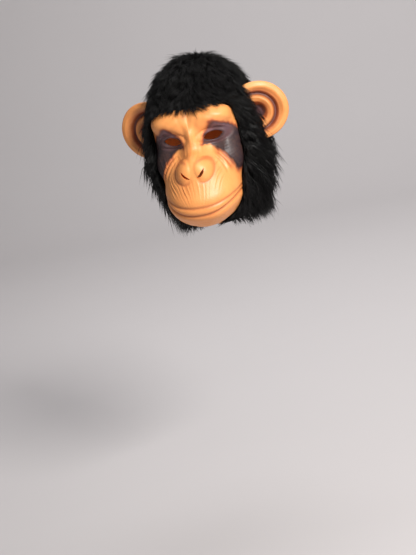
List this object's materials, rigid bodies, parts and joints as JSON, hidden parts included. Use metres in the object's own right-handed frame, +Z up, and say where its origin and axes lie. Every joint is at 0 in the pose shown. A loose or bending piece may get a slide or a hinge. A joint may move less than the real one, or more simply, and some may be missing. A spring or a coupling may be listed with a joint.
{
  "type": "ape mask",
  "caption": "Overhead ape mask: hollow tan latex head with sunken open eyes, broad nose and heavy muzzle, cupped ears, and a black fur hood round the bare face. Open at the neck.",
  "frame": {"origin": "inside of the crown, where the wearer's head carries the mask", "axes": "+Z up out of the crown, the face looks along -Y, +X is the wearer's left"},
  "size_m": [0.282, 0.2863, 0.2789],
  "materials": {
    "face_latex": "satin tan latex, painted darker in the eye sockets and along the creases",
    "ear_latex": "satin tan latex with a dark red-purple groove",
    "black_fur": "long matt black pile with soft sheen"
  },
  "bodies": {
    "root": {"latex_head": "face_latex", "ear_left": "ear_latex", "ear_right": "ear_latex", "fur_hood": "black_fur"}
  },
  "joints": []
}
